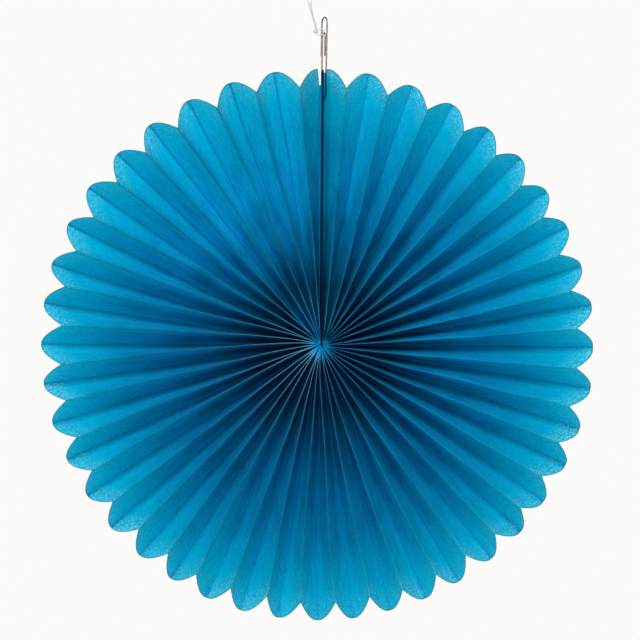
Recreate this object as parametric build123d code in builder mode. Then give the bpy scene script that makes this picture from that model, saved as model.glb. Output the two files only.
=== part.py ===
from build123d import *
from math import atan2, cos, hypot, pi, sin, sqrt, tan
import os

# A hanging paper fan rosette. One long strip of tissue is pleated like an accordion, tied at its
# inner end and opened through a full turn, so that its two ends meet in one seam at the top. Each
# end is pasted to a stiff card, a wire paper clip goes through a hole punched in both cards, and a
# looped string is knotted round the clip.
#
# Millimetres, +Z up. The fan faces -Y. The origin is where the string's loop bears on its hook, and
# the fan hangs below it.

# The pleated sheet
fan_radius = 167.0  # from the hub to the tip of a petal
petal_height = 12.5  # from the notch between two petals to their tips
petals = 42  # counting the two half petals at the seam as one
pleat_width = 30.0  # from one fold to the next, which is how deep the fan is at its hub
paper_thickness = 0.2
hub_bore = 2.5  # radius of the hole that the inner ends leave round the tie
sag = 0.086  # how much the pleats open at the top and close at the bottom under their own weight
crease_flare = 1.6  # how far the last fold stands off its end card at the tip
notch_bow = (0.3, 0.5)  # how far over and up a petal's edge heads as it leaves the notch
tip_bow = 0.65  # how far over it has come when it turns along the tip
pinch_radii = (5.0, 12.0, 40.0)  # where the bunched inner ends open out, from the hub outwards
petal_root = 14.5  # from the notches inwards to where the leaves begin to follow the petals' edge

# The end cards
card_thickness = 0.4
card_width = 27.2
card_corner = 2.0
card_below_tips = 2.0  # from the petals' tips down to the cards' outer ends
card_hub_gap = 0.1  # from the bore to the cards' inner ends

# The paper clip
clip_wire = 1.0
clip_length = 50.0
clip_width = 8.2
clip_low_radius = 3.0  # the single bend that goes through the cards
clip_inner_radius = 1.9  # the nested bend that the string goes under
clip_nest = 9.4  # from the outer bend's top to the nested bend's top
clip_end_drop = 23.3  # from the outer bend's top to the wire's two cut ends
clip_below_rim = 18.6  # from the tips of the petals down to the clip's low bend
clip_clearance = 0.1  # between the clip's legs and the paper beside them
punch_clearance = 0.15  # between the low bend and the edge of the hole punched for it

# The string and its knot
string_diameter = 0.7
string_reach = 31.8  # from the knot's top up to where the loop bears on its hook
loop_half, loop_rise = 3.3, 2.3  # from the loop's top corner to its two shoulders
hang_side = 7.6  # from the hook's line to the hub's, because the string leans
knot_radius = 1.35
knot_end_radius = 0.95
knot_height = 2.4
knot_place = (-3.1, 1.0, 189.0)  # from the hub

# The tie at the hub
tie_clearance = 0.1
tie_set_back = 1.0  # from the fan's front and back faces to the tie's ends
tie_edge = 0.8

leaves = 2 * petals
notch_radius = fan_radius - petal_height
straight_radius = notch_radius - petal_root
mean_half_pitch = pi / petals
knot_top = knot_place[2] + knot_height / 2
hang_height = knot_top + string_reach
hub = Vector(hang_side, 0, -hang_height)
crease_shift = card_thickness + 1.5 * paper_thickness  # the cards wedge the seam open by this
crease_angle = crease_flare / fan_radius


def half_depth(radius):
    """How far the folds stand before and behind the fan's middle plane at a radius."""
    spread = radius * mean_half_pitch
    return sqrt(pleat_width**2 - spread**2) / 2


def fold_angle(fold):
    """A fold's angle, clockwise from the top. Fold 0 and the last one are the creases at the seam."""
    even = crease_angle + fold * (2 * pi - 2 * crease_angle) / leaves
    return even + sag * sin(even)


def on_fold(fold, radius, aside, depth):
    """A point beside a fold line: aside is clockwise, depth is towards the back."""
    angle = fold_angle(fold)
    side = 1 if fold <= leaves / 2 else -1
    wedge = side * crease_shift * (1 + cos(angle)) / 2
    x = radius * sin(angle) + aside * cos(angle) + wedge
    z = radius * cos(angle) - aside * sin(angle)
    return hub + Vector(x, depth, z)


def fold_web(fold, radius):
    """How deep the paper fills the inside of a fold, where its two leaves still touch."""
    apart = (on_fold(fold + 1, radius, 0, 0) - on_fold(fold - 1, radius, 0, 0)).length / 2
    return paper_thickness * half_depth(radius) / apart


def ridge_front(fold, radius, side):
    return on_fold(fold, radius, side * paper_thickness / 2, -half_depth(radius))


def ridge_back(fold, radius):
    return on_fold(fold, radius, 0, fold_web(fold, radius) - half_depth(radius))


def valley_front(fold, radius):
    return on_fold(fold, radius, 0, half_depth(radius) - fold_web(fold, radius))


def valley_back(fold, radius, side):
    return on_fold(fold, radius, side * paper_thickness / 2, half_depth(radius))


def crease_front(side, radius):
    fold = 0 if side > 0 else leaves
    depth = half_depth(radius) - paper_thickness
    return on_fold(fold, radius, -side * paper_thickness / 2, depth)


def crease_back(side, radius):
    fold = 0 if side > 0 else leaves
    return on_fold(fold, radius, side * paper_thickness / 2, half_depth(radius))


def pasted(side, radius, face, depth):
    """A corner of the leaf pasted to an end card: face 0 is on the card, face 1 looks away from it."""
    x = side * (card_thickness + face * paper_thickness)
    return hub + Vector(x, depth, radius)


# Each line below runs out along the sheet at one corner of its section, given as a function of the
# radius and the radius where it ends. In order they go once round the sheet's section: over the
# front from the right-hand card to the left-hand one, and back over the rear.
def lines_at_card(side):
    front = [
        (lambda r: pasted(side, r, 0, -half_depth(r)), notch_radius),
        (lambda r: pasted(side, r, 1, -half_depth(r)), notch_radius),
        (lambda r: pasted(side, r, 1, half_depth(r) - paper_thickness), fan_radius),
        (lambda r: crease_front(side, r), fan_radius),
    ]
    back = [
        (lambda r: pasted(side, r, 0, half_depth(r)), fan_radius),
        (lambda r: crease_back(side, r), fan_radius),
    ]
    return front, back


def ridge_lines(fold):
    front = [
        (lambda r: ridge_front(fold, r, -1), notch_radius),
        (lambda r: ridge_front(fold, r, 1), notch_radius),
    ]
    back = [(lambda r: ridge_back(fold, r), notch_radius)]
    return front, back


def valley_lines(fold):
    front = [(lambda r: valley_front(fold, r), fan_radius)]
    back = [
        (lambda r: valley_back(fold, r, -1), fan_radius),
        (lambda r: valley_back(fold, r, 1), fan_radius),
    ]
    return front, back


def fold_corners(fold):
    return ridge_lines(fold) if fold % 2 else valley_lines(fold)


right_front, right_back = lines_at_card(1)
left_front, left_back = lines_at_card(-1)
corners_at = {fold: fold_corners(fold) for fold in range(1, leaves)}
front_lines, back_lines = list(right_front), list(right_back)
for front, back in corners_at.values():
    front_lines += front
    back_lines += back
front_lines += reversed(left_front)
back_lines += reversed(left_back)


def rim_edge(first, second):
    """The cut edge of one face from one corner line to the next: a petal's curve, or straight."""
    (first_point, first_end), (second_point, second_end) = first, second
    if first_end == second_end:
        return Edge.make_line(first_point(first_end), second_point(second_end))
    low, high = (first_point, second_point) if first_end < second_end else (second_point, first_point)

    def across(share, radius):
        return low(radius) * (1 - share) + high(radius) * share

    points = [
        low(notch_radius),
        across(notch_bow[0], notch_radius + notch_bow[1] * petal_height),
        across(tip_bow, fan_radius),
        high(fan_radius),
    ]
    if low is second_point:
        points.reverse()
    return Edge.make_bezier(*points)


def cut_edge(here, there, at_rim):
    """The edge from one corner line to the next at the sheet's rim, or at its inner end."""
    if at_rim:
        return rim_edge(here, there)
    return Edge.make_line(here[0](hub_bore), there[0](hub_bore))


def side_faces():
    """The sheet's front and back, and the flats of its folds, from the bore out to the rim."""
    stations = (hub_bore, *pinch_radii, straight_radius)
    faces = []
    corners = front_lines + list(reversed(back_lines))
    for here, there in zip(corners, corners[1:] + corners[:1]):
        rungs = [Edge.make_line(here[0](radius), there[0](radius)) for radius in stations]
        rungs.append(rim_edge(here, there))
        faces += [Face.make_surface_from_curves(inner, outer) for inner, outer in zip(rungs, rungs[1:])]
    return faces


def end_faces(at_rim):
    """The faces that close the sheet along its cut rim, or at its inner end."""

    def strip(front_pair, back_pair):
        return Face.make_surface_from_curves(
            cut_edge(*front_pair, at_rim), cut_edge(*back_pair, at_rim)
        )

    def fold_end(*three):
        points = [point(end if at_rim else hub_bore) for point, end in three]
        return Face(Wire.make_polygon(points, close=True))

    faces = []
    for (card_face, outer, inner, crease), (card_back, crease_back) in (
        (right_front, right_back),
        (left_front, left_back),
    ):
        faces.append(strip((outer, inner), (card_face, card_back)))
        faces.append(strip((inner, crease), (card_back, crease_back)))
    front_here, back_here = right_front[-1], right_back[-1]
    for fold in range(1, leaves):
        front, back = corners_at[fold]
        faces.append(strip((front_here, front[0]), (back_here, back[0])))
        faces.append(fold_end(*front, *back))
        front_here, back_here = front[-1], back[-1]
    faces.append(strip((front_here, left_front[-1]), (back_here, left_back[-1])))
    return faces


# Where the clip goes through the cards. Its legs stand clear of the paper, one on each side, and its
# low bend crosses between them, so the punched hole is as large as that part of the bend.
leg_offset = card_thickness + paper_thickness + clip_clearance + clip_wire / 2
clip_sine = leg_offset / clip_low_radius
clip_cosine = sqrt(1 - clip_sine**2)
crossing_sine = (leg_offset - clip_clearance) / leg_offset
crossing_side = clip_low_radius * crossing_sine * clip_cosine
crossing_rise = clip_low_radius * (1 - sqrt(1 - crossing_sine**2))
clip_low = fan_radius - clip_below_rim  # height of the wire's centre at its low bend, from the hub
clip_high = clip_low + clip_length - clip_wire
punch_radius = hypot(crossing_side, crossing_rise / 2) + clip_wire / 2 + punch_clearance
punch_centre = clip_low + crossing_rise / 2

# The pleated sheet, one folded solid
with BuildPart() as pleated_rosette:
    add(Solid(Shell(side_faces() + end_faces(True) + end_faces(False))))
    with BuildSketch(Plane.YZ.offset(hub.X)):
        with Locations((0, hub.Z + punch_centre)):
            Circle(punch_radius)
    extrude(amount=card_thickness + 2 * paper_thickness, both=True, mode=Mode.SUBTRACT)


def end_card(side):
    """A stiff strip at the seam, punched near its outer end. Side is +1 on the right."""
    inner_end = hub_bore + card_hub_gap
    card_length = fan_radius - card_below_tips - inner_end
    with BuildPart() as card:
        with BuildSketch(Plane.YZ.offset(hub.X)):
            with Locations((0, hub.Z + inner_end)):
                Rectangle(card_width, card_length, align=(Align.CENTER, Align.MIN))
            fillet(vertices().group_by(Axis.Y)[-1], card_corner)
            with Locations((0, hub.Z + punch_centre)):
                Circle(punch_radius, mode=Mode.SUBTRACT)
        extrude(amount=side * card_thickness)
    return card


right_end_card = end_card(1)
left_end_card = end_card(-1)

# The paper clip, one bent wire. Its own plane stands across the cards: its first axis runs from the
# leg on the left, behind, to the leg on the right, in front.
clip_plane = Plane(
    origin=hub,
    x_dir=(clip_sine, -clip_cosine, 0),
    z_dir=(-clip_cosine, -clip_sine, 0),
)
outer_radius = (clip_width - clip_wire) / 2
loop_right = clip_low_radius  # the long leg, the low bend and the inner leg are centred on the cards
loop_left = -clip_low_radius
outer_left = loop_right - 2 * outer_radius
end_right = loop_left + 2 * clip_inner_radius
clip_end = clip_high - clip_end_drop
outer_spring = clip_high - outer_radius
inner_spring = clip_high - clip_nest - clip_inner_radius
low_spring = clip_low + clip_low_radius

with BuildPart() as paper_clip:
    with BuildLine(clip_plane) as wire_line:
        Line((outer_left, clip_end), (outer_left, outer_spring))
        ThreePointArc(
            (outer_left, outer_spring),
            (outer_left + outer_radius, clip_high),
            (loop_right, outer_spring),
        )
        Line((loop_right, outer_spring), (loop_right, low_spring))
        ThreePointArc(
            (loop_right, low_spring),
            (0, clip_low),
            (loop_left, low_spring),
        )
        Line((loop_left, low_spring), (loop_left, inner_spring))
        ThreePointArc(
            (loop_left, inner_spring),
            (loop_left + clip_inner_radius, clip_high - clip_nest),
            (end_right, inner_spring),
        )
        Line((end_right, inner_spring), (end_right, clip_end))
    with BuildSketch(Plane(origin=wire_line.line @ 0, z_dir=wire_line.line % 0)):
        Circle(clip_wire / 2)
    sweep()

# The tie: thread wound and glued through the bore, which holds the leaves' inner ends
tie_radius = hub_bore - tie_clearance
tie_half = half_depth(hub_bore) - tie_set_back
with BuildPart() as hub_tie:
    with BuildSketch(Plane.XZ.offset(-tie_half)):
        with Locations((hub.X, hub.Z)):
            Circle(tie_radius)
    extrude(amount=2 * tie_half)
    fillet(hub_tie.edges().filter_by(GeomType.CIRCLE), tie_edge)


def corner_radii(points):
    """The arc at each corner of a cord's route: as large as its two runs allow."""
    radii = []
    for before, here, after in zip(points, points[1:], points[2:]):
        a, b = here - before, after - here
        shorter = min(a.length, b.length)
        radii.append(0.45 * shorter / tan(a.get_angle(b) * pi / 360))
    return radii


# The string from its knot up to the hook and back, chosen along the photographed strands: how far
# each point is to the side of the hub, how far behind it and what share of the reach it has risen.
# The loop's top corner is rounded off, and the arc's inner side is what bears on the hook.
corner_cut = 0.45 * hypot(loop_half, loop_rise) * tan(atan2(loop_rise, loop_half) / 2)
loop_top = (string_reach + string_diameter / 2 + corner_cut) / string_reach
shoulder = loop_top - loop_rise / string_reach
string_points = [
    (-3.6, 1.0, 0.0),
    (-3.6, 1.0, 0.063),
    (-4.9, 0.8, 0.164),
    (-6.4, 0.6, 0.314),
    (-7.9, 0.4, 0.51),
    (-10.5, 0.2, 0.767),
    (-hang_side - loop_half, 0.0, shoulder),
    (-hang_side, 0.0, loop_top),
    (-hang_side + loop_half, 0.0, shoulder),
    (-4.7, 0.2, 0.767),
    (-6.2, 0.4, 0.51),
    (-5.1, 0.6, 0.314),
    (-3.8, 0.8, 0.17),
    (-2.6, 1.0, 0.063),
    (-2.6, 1.0, 0.0),
]
string_route = [hub + Vector(x, y, knot_top + share * string_reach) for x, y, share in string_points]
string_radii = corner_radii(string_route)
print("string arcs, mm:", [round(radius, 2) for radius in string_radii])

with BuildPart() as hanging_string:
    with BuildLine() as string_line:
        FilletPolyline(*string_route, radius=string_radii)
    with BuildSketch(Plane(origin=string_line.line @ 0, z_dir=string_line.line % 0)):
        Circle(string_diameter / 2)
    sweep()
print("string length, mm:", round(string_line.wire().length, 1))

# The knot, with the small loop below it that goes round the clip's nested bend
noose_points = [
    (-3.0, 1.0, 188.6),
    (-2.0, 1.0, 186.85),
    (1.3, 1.0, 186.85),
    (2.3, 1.0, 188.4),
    (1.4, 1.0, 190.1),
    (-0.3, 1.0, 190.6),
    (-2.9, 1.0, 189.4),
]
noose_route = [hub + Vector(*point) for point in noose_points]

with BuildPart() as string_knot:
    knot_centre = hub + Vector(*knot_place)
    with BuildSketch(Plane.XZ.offset(-knot_centre.Y)):
        with BuildLine():
            low, high = knot_centre.Z - knot_height / 2, knot_centre.Z + knot_height / 2
            Line((knot_centre.X, low), (knot_centre.X, high))
            Line((knot_centre.X, high), (knot_centre.X + knot_end_radius, high))
            ThreePointArc(
                (knot_centre.X + knot_end_radius, high),
                (knot_centre.X + knot_radius, knot_centre.Z),
                (knot_centre.X + knot_end_radius, low),
            )
            Line((knot_centre.X + knot_end_radius, low), (knot_centre.X, low))
        make_face()
    revolve(axis=Axis(knot_centre, (0, 0, 1)))
    with BuildLine() as noose_line:
        FilletPolyline(*noose_route, radius=corner_radii(noose_route))
    with BuildSketch(Plane(origin=noose_line.line @ 0, z_dir=noose_line.line % 0)):
        Circle(string_diameter / 2)
    sweep()

os.makedirs("parts", exist_ok=True)
pieces = {
    "pleated_rosette": pleated_rosette,
    "right_end_card": right_end_card,
    "left_end_card": left_end_card,
    "paper_clip": paper_clip,
    "hub_tie": hub_tie,
    "hanging_string": hanging_string,
    "string_knot": string_knot,
}
for name, piece in pieces.items():
    piece.part.label = name
    export_step(piece.part, f"parts/{name}.step")
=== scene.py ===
# %% [markdown]
# # A hanging paper fan rosette
# One long strip of blue tissue is pleated like an accordion, tied through its inner end and opened
# through a full turn. Its two ends meet in a seam at the top, where each is pasted to a stiff card.
# A bent wire paper clip goes through both cards, and a clear string hangs the fan by the clip.
#
# The CAD part gives the exact place and size of each piece. This script dresses it: the sheet gets
# finer folds and its real translucency, the wire its plating and the string its lay. Every length
# is in metres and every place is in the part's own frame, whose origin is the top of the string.

from math import cos, pi, radians, sin

import bpy
import numpy as np
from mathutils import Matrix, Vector


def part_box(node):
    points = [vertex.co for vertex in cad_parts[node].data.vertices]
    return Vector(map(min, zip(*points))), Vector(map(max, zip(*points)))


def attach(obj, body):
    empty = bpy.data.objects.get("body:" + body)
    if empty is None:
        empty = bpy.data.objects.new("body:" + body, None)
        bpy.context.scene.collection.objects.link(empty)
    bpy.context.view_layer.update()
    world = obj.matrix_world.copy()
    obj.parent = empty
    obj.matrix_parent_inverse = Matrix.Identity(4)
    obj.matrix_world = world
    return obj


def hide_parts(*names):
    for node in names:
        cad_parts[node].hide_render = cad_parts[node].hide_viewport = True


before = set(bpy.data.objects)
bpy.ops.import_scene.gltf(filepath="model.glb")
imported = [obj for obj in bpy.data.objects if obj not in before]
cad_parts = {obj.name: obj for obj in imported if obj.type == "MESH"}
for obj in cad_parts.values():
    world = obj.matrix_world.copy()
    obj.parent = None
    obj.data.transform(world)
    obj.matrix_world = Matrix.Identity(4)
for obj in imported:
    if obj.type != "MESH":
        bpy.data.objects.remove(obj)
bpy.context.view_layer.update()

mm = 0.001
tie_low, tie_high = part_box("hub_tie")
rosette_low, rosette_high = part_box("pleated_rosette")
hub = (tie_low + tie_high) / 2
fan_radius = hub.z - rosette_low.z
hub_half_depth = (rosette_high.y - rosette_low.y) / 2
print(f"hub at {hub.x / mm:.1f}, {hub.z / mm:.1f} mm; the fan's radius is {fan_radius / mm:.1f} mm")


def linear(hex_colour):
    """The linear RGBA that a shader needs for a colour picked as #rrggbb."""
    channels = [int(hex_colour[i : i + 2], 16) / 255 for i in (1, 3, 5)]
    return [c / 12.92 if c <= 0.04045 else ((c + 0.055) / 1.055) ** 2.4 for c in channels] + [1.0]


# %% [markdown]
# ## The camera
# The fan was photographed straight on and level, from very slightly to its left: the tips of the
# petals, which are nearest the back, are drawn a little to the left of the middle of the notches. A
# long lens two metres away gives the weak perspective. The picture is square, and the hub is a
# little below and to the right of its middle.

# %% Camera
pixel_size = 0.598 * mm  # at the hub's front end
picture_width = 640  # in pixels
camera_distance = 2.0
camera_yaw = radians(1.7)
hub_pixel = (321.5, 345.0)

look = Vector((sin(camera_yaw), cos(camera_yaw), 0))
right = Vector((cos(camera_yaw), -sin(camera_yaw), 0))
aim = Vector((hub.x, hub.y - hub_half_depth, hub.z))
aim -= right * (hub_pixel[0] - picture_width / 2) * pixel_size
aim.z += (hub_pixel[1] - picture_width / 2) * pixel_size

camera_data = bpy.data.cameras.new("camera")
camera_data.sensor_width = 36.0
camera_data.lens = camera_data.sensor_width * camera_distance / (picture_width * pixel_size)
camera_data.clip_start, camera_data.clip_end = 0.1, 20.0
camera = bpy.data.objects.new("camera", camera_data)
bpy.context.scene.collection.objects.link(camera)
camera.location = aim - look * camera_distance
camera.rotation_mode = "QUATERNION"
camera.rotation_quaternion = look.to_track_quat("-Z", "Y")
bpy.context.scene.camera = camera
print(f"lens {camera_data.lens:.0f} mm, camera at {[round(c, 3) for c in camera.location]}")

# %% [markdown]
# ## Materials in code
# Every finish is a small graph of shader nodes. One function adds a node, sets its plain values and
# links what feeds it. A few short ones use it for what comes up again and again, such as laying one
# colour over another, so that each graph reads from its pattern to its shader.

# %% Material helpers
MIX, MIX_A, MIX_B, MIXED = 0, 6, 7, 2  # where a Mix node has its factor, its colours and its result


def new_material(name):
    """An empty material and its node tree, ready to be built up."""
    material = bpy.data.materials.new(name)
    material.use_nodes = True
    material.node_tree.nodes.clear()
    return material, material.node_tree


def add(tree, kind, links=None, **values):
    """Adds a node. links maps an input's name or number to the socket that feeds it or to a value;
    values are the node's own settings."""
    node = tree.nodes.new(kind)
    for name, value in values.items():
        setattr(node, name, value)
    for name, value in (links or {}).items():
        if isinstance(value, bpy.types.NodeSocket):
            tree.links.new(value, node.inputs[name])
        else:
            node.inputs[name].default_value = value
    return node


def spread(tree, value, start, end, low, high):
    """Runs from low to high while a value runs from start to end, and stays there outside."""
    ends = {"From Min": start, "From Max": end, "To Min": low, "To Max": high}
    return add(tree, "ShaderNodeMapRange", {"Value": value, **ends}).outputs[0]


def maths(tree, operation, first, second, clamp=False):
    """The result of a sum on two values, which can be kept between 0 and 1."""
    links = {0: first, 1: second}
    return add(tree, "ShaderNodeMath", links, operation=operation, use_clamp=clamp).outputs[0]


def noise(tree, place, size, settings):
    """A random pattern whose blotches are about that size."""
    pattern = add(tree, "ShaderNodeTexNoise", {"Vector": place, "Scale": 1 / size, **settings})
    return pattern.outputs["Fac"]


def mix(tree, amount, under, over):
    """One colour laid over another in that amount. Each is a socket or #rrggbb."""
    under, over = (linear(c) if isinstance(c, str) else c for c in (under, over))
    links = {MIX: amount, MIX_A: under, MIX_B: over}
    return add(tree, "ShaderNodeMix", links, data_type="RGBA").outputs[MIXED]


def ramp(tree, value, stops):
    """A colour that follows a value through its (value, hex colour) stops."""
    low, high = stops[0][0], stops[-1][0]
    node = add(tree, "ShaderNodeValToRGB", {0: spread(tree, value, low, high, 0.0, 1.0)})
    points = node.color_ramp.elements
    points[0].position, points[1].position = 0.0, 1.0
    points[0].color, points[1].color = linear(stops[0][1]), linear(stops[-1][1])
    for place, colour in stops[1:-1]:
        points.new((place - low) / (high - low)).color = linear(colour)
    return node.outputs[0]


def surface(tree, kind, links):
    """Ends a material in that shader."""
    shader = add(tree, kind, links)
    add(tree, "ShaderNodeOutputMaterial", {"Surface": shader.outputs[0]})


def new_piece(name, data, material):
    """Puts mesh or curve data into the scene as a piece of the part."""
    piece = bpy.data.objects.new(name, data)
    bpy.context.scene.collection.objects.link(piece)
    data.materials.append(material)
    return piece


# %% [markdown]
# ## The string
# A thin clear string comes up from its knot as two strands, twists once and ends in the small loop
# that hangs on a hook above the picture. It is a free cord, so it is one smooth curve through the
# same route as its CAD tube. In front of white such line looks pale grey with a soft gloss, so it
# is made so: as clear glass it would all but vanish.

# %% The clear string
string_diameter = 0.7 * mm
string_reach = 31.8 * mm
knot_top = -string_reach
loop_half, loop_rise, loop_top = 3.3 * mm, 2.3 * mm, 0.92 * mm


def strand(x, y, share):
    """A point of the string: sideways from the hub, backwards, and its share of the rise."""
    return Vector((hub.x + x * mm, y * mm, knot_top + share * string_reach))


string_points = [
    strand(-3.4, 1.0, 0.0),
    strand(-3.1, 1.0, 0.063),
    strand(-4.4, 0.8, 0.164),
    strand(-5.8, 0.6, 0.314),
    strand(-7.3, 0.4, 0.51),
    strand(-10.5, 0.2, 0.767),
    Vector((-loop_half, 0, loop_top - loop_rise)),
    Vector((0, 0, loop_top)),
    Vector((loop_half, 0, loop_top - loop_rise)),
    strand(-4.7, 0.2, 0.767),
    strand(-6.2, 0.4, 0.51),
    strand(-5.1, 0.6, 0.314),
    strand(-3.8, 0.8, 0.17),
    strand(-2.6, 1.0, 0.063),
    strand(-2.6, 1.0, 0.0),
]


def smooth_line(name, points, thickness):
    """A round cord of that thickness along a smooth curve that its points steer."""
    curve = bpy.data.curves.new(name, "CURVE")
    curve.dimensions = "3D"
    curve.bevel_depth = thickness / 2
    curve.bevel_resolution = 5
    curve.use_fill_caps = True
    spline = curve.splines.new("NURBS")
    spline.points.add(len(points) - 1)
    for point, place in zip(spline.points, points):
        point.co = (*place, 1)
    spline.order_u = 3
    spline.use_endpoint_u = True
    spline.resolution_u = 12
    return curve


clear_string, tree = new_material("clear_nylon_string")
nylon = {"Base Color": linear("#adada9"), "Roughness": 0.45, "IOR": 1.53}
surface(tree, "ShaderNodeBsdfPrincipled", nylon)

string_curve = smooth_line("string", string_points, string_diameter)
string_piece = new_piece("string", string_curve, clear_string)
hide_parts("hanging_string")
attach(string_piece, "root")

# %% [markdown]
# ## The pleated sheet
# The sheet is one strip with 85 folds: 42 ridges at the front, and between them valleys at the back
# that end in the tips of the petals. It could be folded by a simulation, but pleats held by a tie
# and two cards are known exactly, so the mesh is worked out: a grid of columns, which follow the
# folds outwards, and rows, which go round the fan. At each fold the sheet turns through a small
# arc, and between two folds a leaf is nearly flat. To this comes what hands leave in thin paper:
# folds that wander, leaves that bulge a little, and petals that aren't all cut alike.

# %% The folds' places
petals = 42
leaves = 2 * petals
pleat_width = 30 * mm
petal_height = 12.5 * mm
notch_radius = fan_radius - petal_height
straight_radius = 140 * mm  # from here outwards the rows follow the cut edge
inner_radius = 0.7 * mm
card_thickness = 0.4 * mm
card_gap = 0.01 * mm  # from a card to the leaf pasted on it
crease_flare = 0.4 * mm  # from the seam's line to the first fold, at the tips
crease_shift = 0.6 * mm  # the cards wedge the seam open by this
sag = 0.086  # in radians: the fan's weight closes its pleats at the bottom
seam_lean = radians(0.35)  # the seam leans to the right a little
slack = (0.0085, 0.006, 0.007, 0.0045)  # how unevenly the fan is spread, in radians
fold_stray = radians(0.16)  # of each single fold
drift_size, drift_waves = 0.32 * mm, (130 * mm, 60 * mm, 26 * mm)  # how a fold wanders on its way

draw = np.random.default_rng(7)
folds = np.arange(leaves + 1)
is_ridge = folds % 2 == 1
crease_angle = crease_flare / fan_radius
even = crease_angle + folds * (2 * pi - 2 * crease_angle) / leaves
fold_angles = even + sag * np.sin(even) + seam_lean
fold_angles += slack[0] * (1 - np.cos(even)) - slack[3] * (1 - np.cos(3 * even))
fold_angles += slack[1] * np.sin(2 * even) + slack[2] * np.sin(3 * even)
held = np.minimum(1, np.minimum(folds, leaves - folds) / 2)  # the folds at the cards don't stray
fold_angles += held * draw.normal(0, fold_stray, leaves + 1)

# The rows lie closer together near the hub, where the bunched folds need them.
rows_hub = np.linspace(inner_radius, 12 * mm, 16)
rows_middle = np.linspace(13 * mm, straight_radius, 34)
rows_straight = np.concatenate([rows_hub, rows_middle])
rows_rim = np.linspace(0, 1, 15)[1:]  # shares of the way from there to the cut edge
row_count = len(rows_straight) + len(rows_rim)


def row_radii(rim):
    """The radius of each row along a fold that ends at the radius rim."""
    return np.concatenate([rows_straight, straight_radius + rows_rim * (rim - straight_radius)])


def wander(amplitude, wavelengths, count):
    """For each of count folds, a smooth random drift at each row, up to about that amplitude."""
    total = np.zeros((count, row_count))
    for wavelength in wavelengths:
        size = draw.normal(0, amplitude, (count, 1)) * wavelength / wavelengths[0]
        phase = draw.uniform(0, 2 * pi, (count, 1))
        total += size * np.sin(2 * pi * row_radii(fan_radius) / wavelength + phase)
    return total


fold_drift = wander(drift_size, drift_waves, leaves + 1) * held[:, None]
print(f"{leaves} leaves, {petals} petals, notches at {notch_radius / mm:.1f} mm")

# %% [markdown]
# ### One leaf's section and cut edge
# Across the fan a leaf goes from the middle of a ridge's arc, straight to the middle of a valley's
# arc. The arcs turn until they point along the straight part, which a few rounds of trial settle.
# Along the rim a leaf is cut in half a petal: steep where it leaves the notch, level at the tip.

# %% Section and petal
fold_radius = 0.09 * mm  # tissue folds almost to a knife edge
arc_shares = np.array([0, 0.35, 0.7, 1.0])
leaf_shares = np.array([0.1, 0.27, 0.45, 0.63, 0.8, 0.92])
trial_turn, trial_rounds = radians(75), 8


def leaf_section(width, depth, bulge, ridge_arc, valley_arc):
    """Points across one leaf at each row: how far round from its ridge, and how far back.

    width and depth are the ridge's distance to the valley, sideways and backwards, at each row.
    The width is negative where the leaf leans so far that its valley lies on the other side."""
    arcs = ridge_arc + valley_arc
    turn = np.full_like(width, trial_turn)
    for _ in range(trial_rounds):
        turn = np.arctan2(depth - arcs * (1 - np.cos(turn)), width - arcs * np.sin(turn))
    width, depth, bulge, turn, ridge_arc, valley_arc = (
        column[:, None] for column in (width, depth, bulge, turn, ridge_arc, valley_arc)
    )
    at = turn * arc_shares
    ridge_round, ridge_back = ridge_arc * np.sin(at), ridge_arc * (1 - np.cos(at))
    valley_round = width - valley_arc * np.sin(at)
    valley_back = depth - valley_arc * (1 - np.cos(at))
    start_round, start_back = ridge_round[:, -1:], ridge_back[:, -1:]
    bow = bulge * np.sin(pi * leaf_shares)
    middle_round = start_round + leaf_shares * (valley_round[:, -1:] - start_round)
    middle_back = start_back + leaf_shares * (valley_back[:, -1:] - start_back)
    middle_round += bow * np.sin(turn)
    middle_back -= bow * np.cos(turn)
    across = np.hstack([ridge_round, middle_round, valley_round[:, ::-1]])
    back = np.hstack([ridge_back, middle_back, valley_back[:, ::-1]])
    return across, back


def bent_way(way, first_handle, second_handle):
    """A way from 0 to 1 that its two handles bend."""
    return 3 * (1 - way) * way * ((1 - way) * first_handle + way * second_handle) + way**3


petal_way = np.linspace(0, 1, 60)
petal_across = bent_way(petal_way, 0.3, 0.65)
petal_rise = bent_way(petal_way, 0.5, 1.0)


def half_depth(radius):
    """How far the folds stand before and behind the middle of the fan at a radius."""
    return np.sqrt(pleat_width**2 - (radius * pi / petals) ** 2) / 2


# %% [markdown]
# ### The whole sheet as one grid
# The columns are laid side by side in the order in which the strip runs: the leaf pasted to the
# right card, the 84 free leaves clockwise, and the leaf pasted to the left card. The tie pulls the
# innermost ends back into a small dimple, a little above and to the right of the middle. Round it
# the folds are so crowded that they touch, furthest out below the hub. The last stretch of each
# crease beside the cards stands open, as the paper isn't pasted right up to the tips there.

# %% The free leaves
# The ridges pass the hub on one side, clockwise, unevenly and most of all on the left.
ridge_lean, lean_reach = 3.4 * mm, 20 * mm
lean_spread, lean_left = 0.4, 0.3
# Near the hub the folds stray more, and are so crowded that they touch, furthest out below it.
hub_stray, hub_reach, drift_hold = radians(0.8), 22 * mm, 25 * mm
hub_limit, lean_limit = 1.6, 2  # no stray is more than this many times its usual size
hub_bulge, bulge_reach = 0.5 * mm, 5.5 * mm
crowd_side, crowd_lead = radians(195), 0.6
ridge_room, valley_room = 0.9, 0.4  # the most of the half pitch that a fold's arc may take
bulge_range = (-0.2 * mm, 0.9 * mm)
cut_stray = (0.45 * mm, 0.3 * mm)  # of the notches and of the tips
off_centre, overcut = 1.5 * mm, 0.2 * mm  # the rim is a little further out on the left
# At the tips the creases beside the cards come away: by how much, from which share of the rim rows,
# and from which share the paper there is open. On the right only the last few millimetres do.
right_gap, left_gap = (2.4 * mm, 0.8, 0.86), (1.3 * mm, 0.45, 0.6)


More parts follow.
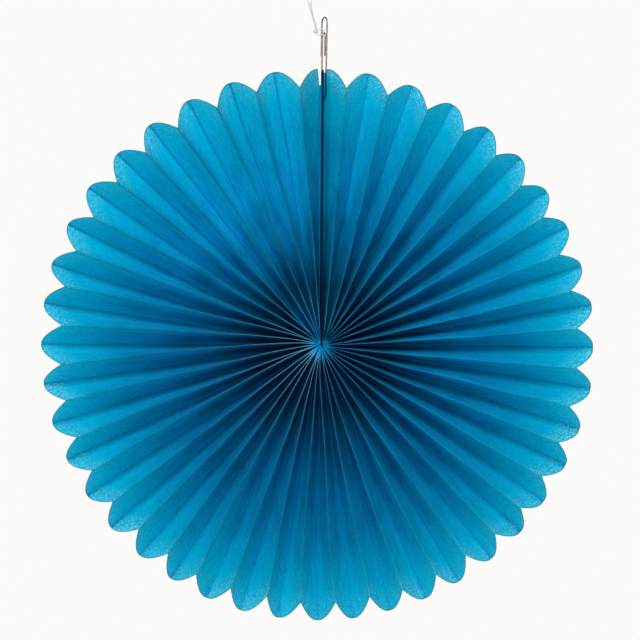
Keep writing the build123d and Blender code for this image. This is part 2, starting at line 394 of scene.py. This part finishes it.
def strayed(size, limit):
    """A random stray of about that size for each fold, and none more than limit times as large."""
    return np.clip(draw.normal(0, size, leaves + 1), -limit * size, limit * size)


row_radius = row_radii((notch_radius + fan_radius) / 2)
row_depth = half_depth(row_radius)
half_pitch = row_radius * pi / petals
hub_strays = held * strayed(hub_stray, hub_limit)
ends = np.where(is_ridge, notch_radius, fan_radius) - off_centre * np.sin(fold_angles) + overcut
ends += held * draw.normal(0, 1, leaves + 1) * np.where(is_ridge, *cut_stray)
bulges = draw.uniform(*bulge_range, leaves)
leans = np.where(is_ridge, held * ridge_lean, 0) * (1 - lean_left * np.sin(fold_angles))
leans *= 1 + strayed(lean_spread, lean_limit)
fading = 1 / (row_radius + lean_reach) - 1 / (row_radius[-1] + lean_reach)
crowd_reach = bulge_reach * (1 + crowd_lead * np.cos(fold_angles - crowd_side))
valley_arcs = np.minimum(fold_radius, valley_room * half_pitch)

angle_rows = (
    fold_angles[:, None]
    + leans[:, None] * fading
    + fold_drift / (row_radius + drift_hold)
    + hub_strays[:, None] * np.exp(-row_radius / hub_reach)
)
for fold, heading, (gap, start, _) in ((0, 1, right_gap), (leaves, -1, left_gap)):
    opening = np.clip((rows_rim - start) / (1 - start), 0, 1)
    angle_rows[fold, len(rows_straight) :] += heading * gap / fan_radius * opening


def in_order(leaf, values):
    """A leaf's values as the strip runs, without the fold that it shares with the leaf before."""
    values = values if leaf % 2 else values[..., ::-1]
    return values if leaf == 0 else values[..., 1:]


laid_leaves = []  # of each leaf: its ridge, the side of it on which it lies, and how far back
round_columns, back_columns, end_columns = [], [], []
for leaf in range(leaves):
    ridge, valley, heading = (leaf, leaf + 1, 1) if leaf % 2 else (leaf + 1, leaf, -1)
    width = heading * row_radius * (angle_rows[valley] - angle_rows[ridge])
    swell = bulges[leaf] * np.sin(pi * np.minimum(1, row_radius / fan_radius))
    crowded = fold_radius + hub_bulge * np.exp(-((row_radius / crowd_reach[ridge]) ** 2))
    ridge_arcs = np.minimum(crowded, ridge_room * half_pitch)
    across, back = leaf_section(width, 2 * row_depth, swell, ridge_arcs, valley_arcs)
    angles = angle_rows[ridge][:, None] + heading * across / row_radius[:, None]
    rise = np.interp(across[-1] / width[-1], petal_across, petal_rise)
    laid_leaves.append((ridge, heading, back))
    round_columns.append(in_order(leaf, angles))
    back_columns.append(in_order(leaf, back - row_depth[:, None]))
    end_columns.append(in_order(leaf, ends[ridge] + rise * (ends[valley] - ends[ridge])))

# %% The dimple, the pasted leaves and the grid
dimple_depth, dimple_radius = 9.0 * mm, 6.0 * mm
dimple_x, dimple_z = 1.2 * mm, 1.2 * mm  # the tie pulls it to the upper right
pasted_columns = 6


def rows_to(cuts):
    """How far out each row lies in each column, when the columns end at these cuts."""
    straight = np.repeat(rows_straight[:, None], len(cuts), 1)
    return np.vstack([straight, straight_radius + rows_rim[:, None] * (cuts - straight_radius)])


turns = np.hstack(round_columns)
depths = np.hstack(back_columns)
cuts = np.concatenate(end_columns)
out = rows_to(cuts)
aside = np.hypot(out * np.sin(turns) - dimple_x, out * np.cos(turns) - dimple_z)
pull = dimple_depth * np.exp(-((aside / dimple_radius) ** 2))
depths += pull * (row_depth[:, None] - depths) / pleat_width
seam_side = np.where(np.arange(len(cuts)) < len(cuts) / 2, 1, -1)
wedge = seam_side * crease_shift * (1 + np.cos(turns)) / 2
sheet_x, sheet_z = out * np.sin(turns) + wedge, out * np.cos(turns)

pasted_shares = np.linspace(0, 1, pasted_columns)  # from a card's front edge to its back
pasted_cuts = notch_radius + np.interp(pasted_shares, petal_across, petal_rise) * petal_height
pasted_out = rows_to(pasted_cuts)
pasted_depths = row_depth[:, None] * (2 * pasted_shares - 1)
pasted_zeros = np.zeros_like(pasted_out)


def pasted_leaf(side):
    """The places of the leaf that is pasted flat to a card: side is +1 on the right."""
    x = side * (card_thickness + card_gap)
    return x * cos(seam_lean) + pasted_out * sin(seam_lean), pasted_out * cos(seam_lean)


def whole(right, middle, left):
    """The free leaves' values between those of the two pasted leaves, as the strip runs."""
    return np.concatenate([right, middle, left[..., ::-1]], -1)


right_x, right_z = pasted_leaf(1)
left_x, left_z = pasted_leaf(-1)
grid_x = whole(right_x, sheet_x, left_x)
grid_y = whole(pasted_depths, depths, pasted_depths)
grid_z = whole(right_z, sheet_z, left_z)
grid_out = whole(pasted_out, out, pasted_out)
grid_cuts = whole(pasted_cuts, cuts, pasted_cuts)
grid_turns = whole(pasted_zeros, turns, pasted_zeros)

# %% [markdown]
# ### What the finish needs to know
# Every corner of the sheet carries a few numbers for its finish: how far it is from the rim and
# from the hub, how pale its crest is from wear and painted highlight, how much painted shade lies
# on it along a fold and deep in its pleat, how much painted light it gets, and one random number
# for each leaf. They are worked out here, where the folds are known, and the material only turns
# them into colour. Four short curves do all the fading.
#
# The crests are painted paler for the wear of the fold, and most at the lower left as painted
# highlight; near the hub on the right the ridges get painted shade. Along each fold lies a line of
# painted shade, and painted shade fills the inside of the bunch of pleats near the hub. At the
# upper left painted light takes the place of that shade inside the pleats, but each leaf has a
# little painted shade beside its ridge. On the right the leaves that face up get painted light
# along their ridge, and in the dimple the lower left does.

# %% Numbers for the finish
# Where each effect is strongest, in degrees clockwise from the top.
painted_light_side, crest_highlight_side, ridge_shade_side, dark_side, lit_side, dimple_side = 333, 235, 100, 290, 75, 250
painted_light_spread = radians(42)
# How far back from a ridge, or forward from a valley, each effect reaches.
crest_width, ridge_line, valley_line = 0.5 * mm, 1.8 * mm, 1.7 * mm
shade_width, light_width = 11 * mm, 9 * mm
inside_start, inside_end = 0.08, 0.38  # shares of the pleat's depth
# How far out from the hub each effect begins, grows or ends.
crest_start, crest_reach = 15 * mm, 24 * mm
ridge_shade_start, ridge_shade_reach = 4 * mm, 45 * mm
bunch_start, bunch_reach = 7 * mm, 46 * mm
outer_start, outer_full = 30 * mm, 65 * mm
rim_start, rim_full = 110 * mm, 150 * mm
painted_light_reach, painted_light_fade = 84 * mm, 38 * mm
light_middle, light_spread = 60 * mm, 32 * mm
dimple_light_reach = 13 * mm
valley_fade_start = 0.4 * fan_radius
# How strong each effect is, and what is added to it or taken from it from place to place.
ridge_shade_strength, lit_strength, shade_strength, dimple_strength = 0.6, 0.9, 0.55, 0.7
wear_least, highlight_added = 0.3, 1.6
fold_shade, fold_shade_swing, fold_shade_added = 0.4, 0.3, 0.35
valley_loss, rim_loss = 0.65, 0.5


def near(distance, reach):
    """1 at no distance, falling evenly to 0 at reach."""
    return np.clip(1 - distance / reach, 0, 1)


def past(value, start, end):
    """0 up to start, rising evenly to 1 at end."""
    return np.clip((value - start) / (end - start), 0, 1)


def bell(value, width, middle=0.0):
    """1 at the middle, fading smoothly on both sides of it."""
    return np.exp(-(((value - middle) / width) ** 2))


def toward(degrees, angles):
    """1 in that direction, clockwise from the top, and 0 from a quarter turn away."""
    return np.maximum(0, np.cos(angles - radians(degrees)))


def painted_light_share(angles):
    """How much painted light the pleats get in each direction, most at the upper left."""
    return bell((angles - radians(painted_light_side) + pi) % (2 * pi) - pi, painted_light_spread)


radius, depth = row_radius[:, None], 2 * row_depth[:, None]
unlit_share = 1 - painted_light_share(fold_angles)
# Crests are painted paler for the fold's wear, and most at the lower left as painted highlight.
crest_wear_and_highlight = np.exp(-radius / crest_reach) * (1 - bell(radius, crest_start))
highlight_and_wear = wear_least + highlight_added * toward(crest_highlight_side, fold_angles) ** 2
# Painted shade on the ridges near the hub on the right, and lines of painted shade along every
# fold.
ridge_painted_shade = ridge_shade_strength * toward(ridge_shade_side, fold_angles) ** 0.5
ridge_painted_shade = ridge_painted_shade * bell(radius, ridge_shade_reach) * (radius > ridge_shade_start)
ridge_line_shade = fold_shade + fold_shade_swing * np.cos(fold_angles - radians(dark_side))
ridge_line_shade = ridge_line_shade + fold_shade_added * (1 - unlit_share)
bunched = bell(radius, bunch_reach) * (radius > bunch_start)
# Painted light along the ridges of the leaves that face up on the right.
lit_ridge = lit_strength * toward(lit_side, fold_angles)
lit_ridge = lit_ridge * bell(radius, light_spread, light_middle)


def leaf_marks(ridge, heading, back):
    """How pale from wear and painted highlight, how much painted shade and how much painted light
    each point of a leaf has.

    heading is 1 for the leaf clockwise from its ridge and -1 for the other one."""
    pale_crest = near(back, crest_width) * crest_wear_and_highlight * highlight_and_wear[ridge]
    unlit = unlit_share[ridge]
    outer = past(radius, outer_start, outer_full)
    outer = outer * (1 - rim_loss * unlit * past(radius, rim_start, rim_full))
    # Painted shade along the valleys and ridges, and deep inside the bunched pleats near the hub.
    valley_line_shade = 1 - valley_loss * unlit * past(radius, valley_fade_start, fan_radius)
    front_line_shade = np.maximum(ridge_line_shade[ridge] * outer, ridge_painted_shade[:, ridge : ridge + 1])
    inside = past(back / depth, inside_start, inside_end)
    dark = near(depth - back, valley_line) * valley_line_shade
    dark = np.maximum(dark, near(back, ridge_line) * front_line_shade)
    dark = np.maximum(dark, inside * bunched * unlit)
    if heading > 0:
        shade = shade_strength * (1 - unlit) * near(back, shade_width) * outer
        dark = np.maximum(dark, shade)
        return pale_crest, dark, np.zeros_like(back)
    return pale_crest, dark, lit_ridge[:, ridge : ridge + 1] * near(back, light_width)


crest_columns, dark_columns, lit_columns, leaf_columns = [], [], [], []
for leaf, laid in enumerate(laid_leaves):
    pale_crest, dark, lit = (in_order(leaf, values) for values in leaf_marks(*laid))
    crest_columns.append(pale_crest)
    dark_columns.append(dark)
    lit_columns.append(lit)
    leaf_columns.append(np.full_like(pale_crest, draw.uniform()))

# Painted light: at the upper left, in the lower left of the dimple, and along the ridges on the
# right.
dimple_light = dimple_strength * toward(dimple_side, grid_turns)
dimple_light = dimple_light * bell(grid_out, dimple_light_reach)
light = painted_light_share(grid_turns) * bell(np.maximum(0, grid_out - painted_light_reach), painted_light_fade)
light = np.maximum(light, dimple_light)
light = np.maximum(light, whole(pasted_zeros, np.hstack(lit_columns), pasted_zeros))
# The pasted leaves carry painted shade all over, deep in the seam.
finish_numbers = {  # the pasted leaves are dark all over
    "from_rim": grid_cuts - grid_out,
    "from_hub": grid_out,
    "crest": whole(pasted_zeros, np.hstack(crest_columns), pasted_zeros),
    "dark": whole(pasted_zeros + 1, np.hstack(dark_columns), pasted_zeros + 1),
    "light": light,
    "leaf": whole(pasted_zeros, np.hstack(leaf_columns), pasted_zeros),
}

# %% The sheet's mesh
column_total = len(grid_cuts)
corners = np.stack([grid_x, grid_y, grid_z], -1).reshape(-1, 3) + np.array(hub)
row, column = np.mgrid[0 : row_count - 1, 0 : column_total - 1]
first = row * column_total + column
quads = np.stack([first, first + 1, first + column_total + 1, first + column_total], -1)
open_slit = np.zeros(row.shape, bool)
for at, (_, _, start) in (
    (pasted_columns - 1, right_gap),
    (column_total - pasted_columns - 1, left_gap),
):
    open_slit |= (column == at) & (row >= len(rows_straight) + start * len(rows_rim) - 1)
quads = quads[~open_slit]

sheet = bpy.data.meshes.new("tissue_sheet")
sheet.from_pydata(corners.tolist(), [], quads.tolist())
sheet.polygons.foreach_set("use_smooth", np.ones(len(quads), bool))
for name, values in finish_numbers.items():
    layer = sheet.attributes.new(name, "FLOAT", "POINT")
    layer.data.foreach_set("value", values.astype(np.float32).ravel())
sheet_ends = f"{grid_x.min() / mm:.1f} to {grid_x.max() / mm:.1f} mm"
print(f"the sheet: {len(quads)} faces, {sheet_ends} across")

# %% [markdown]
# ### Blue tissue
# Tissue is thin, dyed through and translucent: light from behind comes through it, which makes the
# petals glow at the rim and leaves the deep folds near the hub almost black. So the surface is part
# plain reflection and part translucence. The dye lets almost no red through. Its blue is painted
# darker towards the hub as painted shade, and lighter again in the small bunch at the hub itself
# as painted light. At the upper left painted light makes it lighter and a little greener.
#
# Over the dye lie, in this order, the fine mottle of thin paper, broad clouds where it took up more
# dye, pale flecks where the cut rim is fuzzy, made brighter on the leaves that face up by painted
# sheen, the cut edge itself, the crests, paler where the fold has broken their fibres and with
# painted highlight, and the painted shade along the folds and in the pleats. Two bumps give it
# relief: the fibres, and the soft crumples that handling leaves in a leaf.

# %% Tissue
# The tissue's blue, painted darker towards the hub as painted shade and lighter at the hub itself
# as painted light.
dye_and_shade_stops = [
    (0 * mm, "#0094cc"),
    (36 * mm, "#00628c"),
    (60 * mm, "#007eb0"),
    (90 * mm, "#0090c2"),
    (120 * mm, "#00a0cb"),
    (150 * mm, "#00b8da"),
]
fibre_size, mottle_size, fleck_size = 0.5 * mm, 1.6 * mm, 1.3 * mm
crumple_size, cloud_size = 9 * mm, 22 * mm
fleck_reach = 15 * mm  # how far in from the rim
light_through = 0.3  # the share of the light that passes the sheet

tissue, tree = new_material("blue_tissue_paper")
place = add(tree, "ShaderNodeTexCoord").outputs["Object"]
mark = {
    name: add(tree, "ShaderNodeAttribute", attribute_name=name).outputs["Fac"]
    for name in finish_numbers
}

# The light numbers add painted light here, lighter and a little greener.
dye_and_painted_light = add(
    tree,
    "ShaderNodeHueSaturation",
    {
        "Hue": spread(tree, mark["light"], 0.0, 1.0, 0.5, 0.486),
        "Value": spread(tree, mark["light"], 0.0, 1.0, 1.0, 1.5),
        "Color": ramp(tree, mark["from_hub"], dye_and_shade_stops),
    },
).outputs[0]

mottle = noise(tree, place, mottle_size, {"Detail": 3.0, "Roughness": 0.6})
dye_and_painted_light = mix(tree, spread(tree, mottle, 0.3, 0.7, 0.0, 0.3), dye_and_painted_light, "#00506e")

clouds = noise(tree, place, cloud_size, {"Detail": 2.0})
cloudiness = spread(tree, mark["from_hub"], 60 * mm, 140 * mm, 0.5, 0.08)
dye_and_painted_light = mix(tree, spread(tree, clouds, 0.48, 0.68, 0.0, cloudiness), dye_and_painted_light, "#004f86")

# Flecks show near the rim and on some leaves more than others, and painted sheen makes them
# brightest on the leaves that face up.
flecks_and_sheen = noise(tree, place, fleck_size, {"Detail": 1.0})
flecks_and_sheen = maths(tree, "MULTIPLY", maths(tree, "SUBTRACT", flecks_and_sheen, 0.49), 6.0, clamp=True)
normal = add(tree, "ShaderNodeNewGeometry").outputs["Normal"]
upward = add(tree, "ShaderNodeSeparateXYZ", {0: normal}).outputs["Z"]
for share in (
    spread(tree, mark["from_rim"], 0.0, fleck_reach, 0.72, 0.0),
    spread(tree, upward, -0.4, 0.7, 0.25, 1.3),
    maths(tree, "ADD", mark["leaf"], 0.7),
):
    flecks_and_sheen = maths(tree, "MULTIPLY", flecks_and_sheen, share)
dye_and_painted_light = mix(tree, flecks_and_sheen, dye_and_painted_light, "#7ccfe0")

cut_edge = spread(tree, mark["from_rim"], 0.4 * mm, 1.0 * mm, 0.75, 0.0)
dye_and_painted_light = mix(tree, cut_edge, dye_and_painted_light, "#2b6f80")
# Pale crests: broken fibres and painted highlight.
dye_and_painted_light = mix(tree, maths(tree, "MULTIPLY", mark["crest"], 0.85), dye_and_painted_light, "#8fc4d4")
# Painted shade along the folds, deep in the pleats, beside the ridges and over the pasted leaves.
dye_and_painted_light = mix(tree, maths(tree, "MULTIPLY", mark["dark"], 0.6), dye_and_painted_light, "#003476")

crumples = noise(tree, place, crumple_size, {"Detail": 2.0, "Distortion": 0.6})
crumples = {"Height": crumples, "Strength": 0.5, "Distance": 1.6 * mm}
crumples = add(tree, "ShaderNodeBump", crumples).outputs[0]
fibres = noise(tree, place, fibre_size, {"Detail": 2.0, "Roughness": 0.7})
fibres = {"Height": fibres, "Strength": 0.25, "Distance": 0.15 * mm, "Normal": crumples}
relief = add(tree, "ShaderNodeBump", fibres).outputs[0]

reflecting = add(
    tree,
    "ShaderNodeBsdfPrincipled",
    {"Base Color": dye_and_painted_light, "Roughness": 0.62, "Specular IOR Level": 0.1, "Normal": relief},
)
through = add(tree, "ShaderNodeBsdfTranslucent", {"Color": dye_and_painted_light, "Normal": relief})
paper = {0: light_through, 1: reflecting.outputs[0], 2: through.outputs[0]}
surface(tree, "ShaderNodeMixShader", paper)

rosette = new_piece("tissue_sheet", sheet, tissue)
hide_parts("pleated_rosette")
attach(rosette, "root")

# %% [markdown]
# ## The end cards, the clip, the tie and the knot
# These are stiff or tiny, so their CAD shapes are good as they are, and their pieces are copies of
# the CAD nodes. Only the cards and the clip are set at their lean, and the tie's front end is drawn
# back with the dimple. The cards are dark navy. The clip is plated steel wire, so its finish is all
# in its gloss. Below the tips, where its wire lies between the leaves, the plating passes into a
# dark blue: painted shade together with a painted reflection of the leaves' blue. The knot's own
# small loop, which holds the clip, is drawn as thread like the string.

# %% Pieces copied from the CAD part
clip_lean, clip_pivot = radians(1.15), hub + Vector((0, 0, 68 * mm))  # it leans more than the seam
# Below these heights the wire's colour is painted shade and a painted reflection of the leaves'
# blue.
shaded_wire_top, unshaded_wire_bottom = -58.5 * mm, -55.5 * mm  # where the wire comes out of the leaves


def leaning_copy(node, material, lean, pivot=hub):
    """A copy of a CAD node, turned to the right about a pivot by that lean, which stands for it."""
    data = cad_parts[node].data.copy()
    data.materials.clear()
    x, y, z = (np.array([vertex.co for vertex in data.vertices]) - np.array(pivot)).T
    turned = np.stack([x * cos(lean) + z * sin(lean), y, z * cos(lean) - x * sin(lean)], -1)
    turned += np.array(pivot)
    data.vertices.foreach_set("co", turned.astype(np.float32).ravel())
    piece = new_piece(node.replace("_", "-"), data, material)
    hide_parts(node)
    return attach(piece, "root")


card_stock, tree = new_material("navy_card")
card = {"Base Color": linear("#03182b"), "Roughness": 0.8, "Specular IOR Level": 0.0}
surface(tree, "ShaderNodeBsdfPrincipled", card)
leaning_copy("left_end_card", card_stock, seam_lean)
leaning_copy("right_end_card", card_stock, seam_lean)

steel, tree = new_material("nickel_plated_steel_wire")
place = add(tree, "ShaderNodeTexCoord").outputs["Object"]
height = add(tree, "ShaderNodeSeparateXYZ", {0: place}).outputs["Z"]
unshaded_wire = spread(tree, height, shaded_wire_top, unshaded_wire_bottom, 0.0, 1.0)
# Painted shade and painted blue reflection on the wire below the tips.
plating_and_shade = mix(tree, unshaded_wire, "#0a4a6c", "#786f66")
plating_and_shade = {"Base Color": plating_and_shade, "Metallic": 1.0, "Roughness": 0.35}
surface(tree, "ShaderNodeBsdfPrincipled", plating_and_shade)
leaning_copy("paper_clip", steel, clip_lean, clip_pivot)

thread, tree = new_material("navy_thread")
surface(tree, "ShaderNodeBsdfPrincipled", {"Base Color": linear("#0b2f4d"), "Roughness": 0.7})
tie = leaning_copy("hub_tie", thread, 0.0)
for vertex in tie.data.vertices:
    if vertex.co.y < 0:  # its front end stays behind the folds, which the dimple draws back
        vertex.co.y *= 1 - dimple_depth / hub_half_depth

knot = leaning_copy("string_knot", clear_string, 0.0)

# %% [markdown]
# ## Studio
# The fan hangs in front of a white background that lights it from all round, also from behind, so
# the sheet's translucence shows. One large soft light above and in front to the left gives the
# leaves that face up their brighter side. The floor is far below, out of the picture.
#
# Camera rays and glossy rays see the background at a strength of 1, which is plain white. All other
# rays meet the light that falls on the fan. Transmission rays stay among these, because they are
# the ones that bring the light through the tissue from behind, and nothing here is glass.

# %% Light, floor and background
front_glow, back_glow = 0.2, 2.3
front_edge, back_edge = -0.1, 0.7  # between these the one passes into the other
paper_white = linear("#fcfbf9")
key_place, key_size, key_power = (-0.15, -1.65, 0.88), 0.7, 42.0  # from the hub; watts

world = bpy.data.worlds.new("studio")
bpy.context.scene.world = world
world.use_nodes = True
tree = world.node_tree
tree.nodes.clear()
rays = add(tree, "ShaderNodeLightPath").outputs
seen_ray = maths(tree, "MAXIMUM", rays["Is Camera Ray"], rays["Is Glossy Ray"])
direction = add(tree, "ShaderNodeTexCoord").outputs["Generated"]
behind = add(tree, "ShaderNodeSeparateXYZ", {0: direction}).outputs["Y"]
glow = spread(tree, behind, front_edge, back_edge, front_glow, back_glow)
around = add(tree, "ShaderNodeBackground", {"Color": paper_white, "Strength": glow}).outputs[0]
seen = add(tree, "ShaderNodeBackground", {"Color": paper_white, "Strength": 1.0}).outputs[0]
both = add(tree, "ShaderNodeMixShader", {0: seen_ray, 1: around, 2: seen})
add(tree, "ShaderNodeOutputWorld", {"Surface": both.outputs[0]})


def soft_light(name, place, size, power):
    """A square soft box at that place from the hub, turned to face the fan."""
    data = bpy.data.lights.new(name, "AREA")
    data.energy, data.size = power, size
    lamp = bpy.data.objects.new(name, data)
    bpy.context.scene.collection.objects.link(lamp)
    lamp.location = hub + Vector(place)
    lamp.rotation_euler = Vector(place).to_track_quat("Z", "Y").to_euler()


soft_light("key", key_place, key_size, key_power)

floor_data = bpy.data.meshes.new("floor")
reach, floor_height = 4.0, -1.2  # half its width, and its height from the hook
floor_signs = ((-1, -1), (1, -1), (1, 1), (-1, 1))
floor_corners = [(x * reach, y * reach, floor_height) for x, y in floor_signs]
floor_data.from_pydata(floor_corners, [], [(0, 1, 2, 3)])
floor = bpy.data.objects.new("floor", floor_data)
bpy.context.scene.collection.objects.link(floor)
plain, tree = new_material("pale_floor")
surface(tree, "ShaderNodeBsdfDiffuse", {"Color": linear("#ecebe8")})
floor_data.materials.append(plain)

bpy.context.scene.view_settings.view_transform = "Standard"
